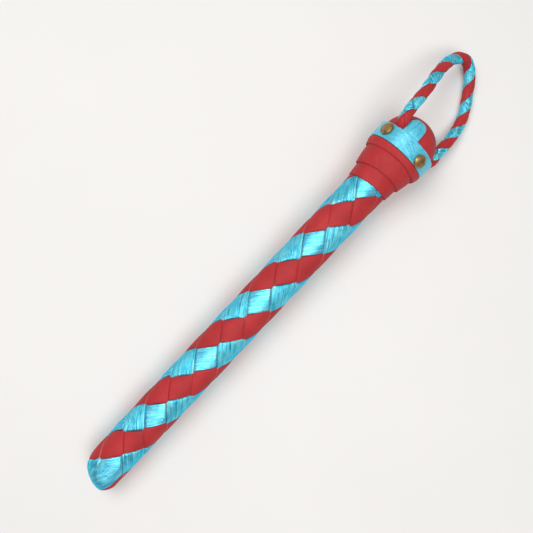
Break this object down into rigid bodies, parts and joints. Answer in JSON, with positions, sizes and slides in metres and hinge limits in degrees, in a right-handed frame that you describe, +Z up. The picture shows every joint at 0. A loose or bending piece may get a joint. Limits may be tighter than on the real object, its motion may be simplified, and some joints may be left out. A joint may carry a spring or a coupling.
{
  "type": "plaited leather baton",
  "caption": "Short plaited-leather baton with a stepped, studded knob at one end and a braided hanging loop on its crown, lying on its side.",
  "frame": {"origin": "centre of the footprint of the stick, without its loop, on the surface it lies on", "axes": "+X along the stick from its tip to its crown, +Z up, +Y to its left"},
  "size_m": [0.4692, 0.0552, 0.0529],
  "materials": {
    "leather_red": "matt dyed leather with a fine grain",
    "leather_blue": "metallic foil-faced leather, finely creased",
    "wood": "plain sawn wood, hidden inside",
    "thread": "waxed thread, hidden under the collar",
    "brass": "antiqued"
  },
  "bodies": {
    "stick": {"core_dowel": "wood", "strand_right_1": "leather_blue", "strand_right_2": "leather_red", "strand_right_3": "leather_blue", "strand_right_4": "leather_red", "strand_left_1": "leather_red", "strand_left_2": "leather_blue", "strand_left_3": "leather_red", "strand_left_4": "leather_blue", "strand_binding": "thread", "collar_wrap_lower": "leather_red", "collar_wrap_middle": "leather_red", "collar_wrap_lip": "leather_red", "knob_block": "wood", "stud_band": "leather_blue", "dome_cap": "leather_red", "crown_tab": "leather_blue", "stud_nail_1": "brass", "stud_nail_2": "brass", "stud_nail_3": "brass", "stud_nail_4": "brass", "loop_root_1": "leather_red", "loop_root_2": "leather_blue"},
    "loop": {"wrist_loop": "leather_red"}
  },
  "joints": [
    {"name": "loop_swing", "type": "hinge", "parent": "stick", "child": "loop", "pos_m": [0.1829, 0, 0.03166], "axis": [0.0177, -0.7826, -0.6223], "range_deg": [0, 80]}
  ]
}
